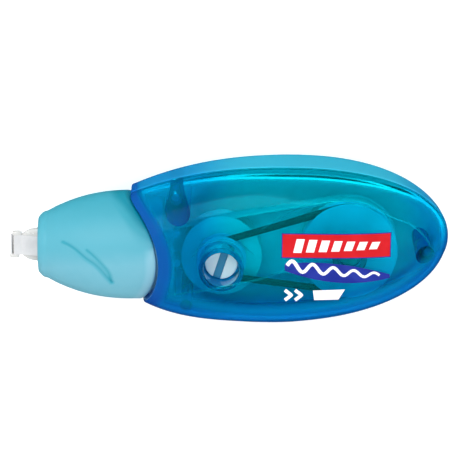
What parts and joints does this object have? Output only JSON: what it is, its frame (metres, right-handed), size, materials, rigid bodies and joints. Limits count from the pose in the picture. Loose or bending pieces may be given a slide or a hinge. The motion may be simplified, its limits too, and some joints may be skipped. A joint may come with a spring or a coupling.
{
  "type": "correction tape roller",
  "caption": "Hand-held correction tape roller in a translucent blue egg-shaped casing, with a twist-out nose cap over the applicator tip and belt-coupled tape reels.",
  "frame": {"origin": "centre of the bottom of the bounding box, on the flat back face that the roller lies on", "axes": "+X along the length towards the rounded tail, with the applicator tip at -X; +Z out of the front shell's face; +Y towards the high side of the casing"},
  "size_m": [0.1094, 0.0372, 0.03],
  "materials": {
    "casing_blue": "translucent blue, polished moulding",
    "cap_aqua": "frosted aqua, satin",
    "clear_plastic": "clear, moulded",
    "tip_clear": "milky clear, moulded",
    "inner_aqua": "satin",
    "inner_grey": "satin",
    "inner_white": "satin",
    "hub_white": "semi-gloss moulding",
    "pulley_blue": "satin",
    "tape_white": "matt coating on a film",
    "liner": "smooth film",
    "belt_rubber": "matt"
  },
  "bodies": {
    "casing": {"front_shell": "casing_blue", "back_shell": "casing_blue", "guide_barrel": "clear_plastic", "applicator_base": "clear_plastic", "tip_blade": "tip_clear", "reel_frame": "inner_aqua", "supply_axle": "inner_grey", "take_up_axle": "inner_grey", "supply_axle_clip": "inner_grey", "drive_belt": "belt_rubber", "coated_tape_strand": "tape_white", "spent_liner_strand": "liner"},
    "cap_retainer": {"cap_retainer_ring": "inner_aqua"},
    "nose_cap": {"nose_cap": "cap_aqua"},
    "supply_reel": {"supply_spool": "inner_white", "supply_tape_roll": "tape_white", "supply_pulley": "pulley_blue"},
    "take_up_pulley": {"take_up_pulley": "pulley_blue", "clutch_washer": "inner_grey"},
    "take_up_reel": {"take_up_spool": "inner_white", "spent_liner_roll": "liner", "rewind_hub": "hub_white"}
  },
  "joints": [
    {"name": "cap_advance", "type": "slide", "parent": "casing", "child": "cap_retainer", "axis": [-1, 0, 0], "range_m": [0, 0.0086]},
    {"name": "cap_twist", "type": "hinge", "parent": "cap_retainer", "child": "nose_cap", "pos_m": [-0.01784, -0.00147, 0.015], "axis": [1, 0, 0], "range_deg": [0, 70]},
    {"name": "supply_spin", "type": "hinge", "parent": "casing", "child": "supply_reel", "pos_m": [0.02976, -0.00137, 0.015], "axis": [0, 0, 1], "continuous": true},
    {"name": "take_up_pulley_spin", "type": "hinge", "parent": "casing", "child": "take_up_pulley", "pos_m": [-0.00184, -0.00378, 0.015], "axis": [0, 0, 1], "continuous": true},
    {"name": "take_up_slip", "type": "hinge", "parent": "take_up_pulley", "child": "take_up_reel", "pos_m": [-0.00184, -0.00378, 0.015], "axis": [0, 0, 1], "continuous": true}
  ],
  "couplings": [
    {"joint": "cap_advance", "follows": "cap_twist", "m_per_rad": 0.007},
    {"joint": "take_up_pulley_spin", "follows": "supply_spin", "ratio": 2.5349}
  ]
}
